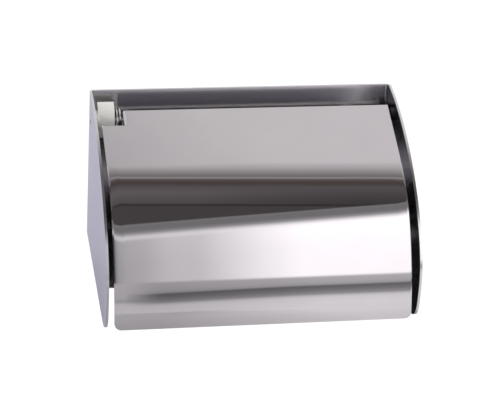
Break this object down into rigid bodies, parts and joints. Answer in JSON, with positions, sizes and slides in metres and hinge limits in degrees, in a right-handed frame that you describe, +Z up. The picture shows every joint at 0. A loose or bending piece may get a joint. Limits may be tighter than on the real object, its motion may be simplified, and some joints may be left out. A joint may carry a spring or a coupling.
{
  "type": "toilet paper holder",
  "caption": "Wall-mounted toilet paper holder in folded stainless sheet, with a sprung curved cover hinged between two cheeks and a telescopic roller inside.",
  "frame": {"origin": "centre of the back plate's rear face, on the wall plane", "axes": "+X to the right seen from the front, +Y into the wall, +Z up"},
  "size_m": [0.1508, 0.0894, 0.0861],
  "materials": {
    "satin_steel": "polished stainless sheet with a satin outer face",
    "polished_steel": "mirror-polished stainless sheet",
    "spring_steel": "bright drawn wire and rod",
    "white_nylon": "natural nylon, slightly translucent",
    "dark_plastic": "moulded dark grey plastic"
  },
  "bodies": {
    "body": {"body_shell": "satin_steel", "hinge_pin": "spring_steel", "hinge_block": "white_nylon", "hinge_bush": "dark_plastic", "torsion_spring": "spring_steel", "socket_left": "dark_plastic", "socket_right": "dark_plastic"},
    "cover": {"cover": "polished_steel"},
    "roller": {"roller_sleeve": "dark_plastic", "roller_spring": "spring_steel"},
    "plunger": {"roller_plunger": "dark_plastic"}
  },
  "joints": [
    {"name": "cover_hinge", "type": "hinge", "parent": "body", "child": "cover", "pos_m": [0, -0.008, 0.0249], "axis": [-1, 0, 0], "range_deg": [0, 75], "stiffness_Nm_per_rad": 0.03, "springref_deg": -40.11, "deforming": ["torsion_spring"]},
    {"name": "roller_spin", "type": "hinge", "parent": "body", "child": "roller", "pos_m": [0, -0.044, -0.004], "axis": [1, 0, 0], "continuous": true},
    {"name": "plunger_slide", "type": "slide", "parent": "roller", "child": "plunger", "axis": [1, 0, 0], "range_m": [-0.006, 0], "stiffness_N_per_m": 250, "springref_m": 0.008, "deforming": ["roller_spring"]}
  ]
}
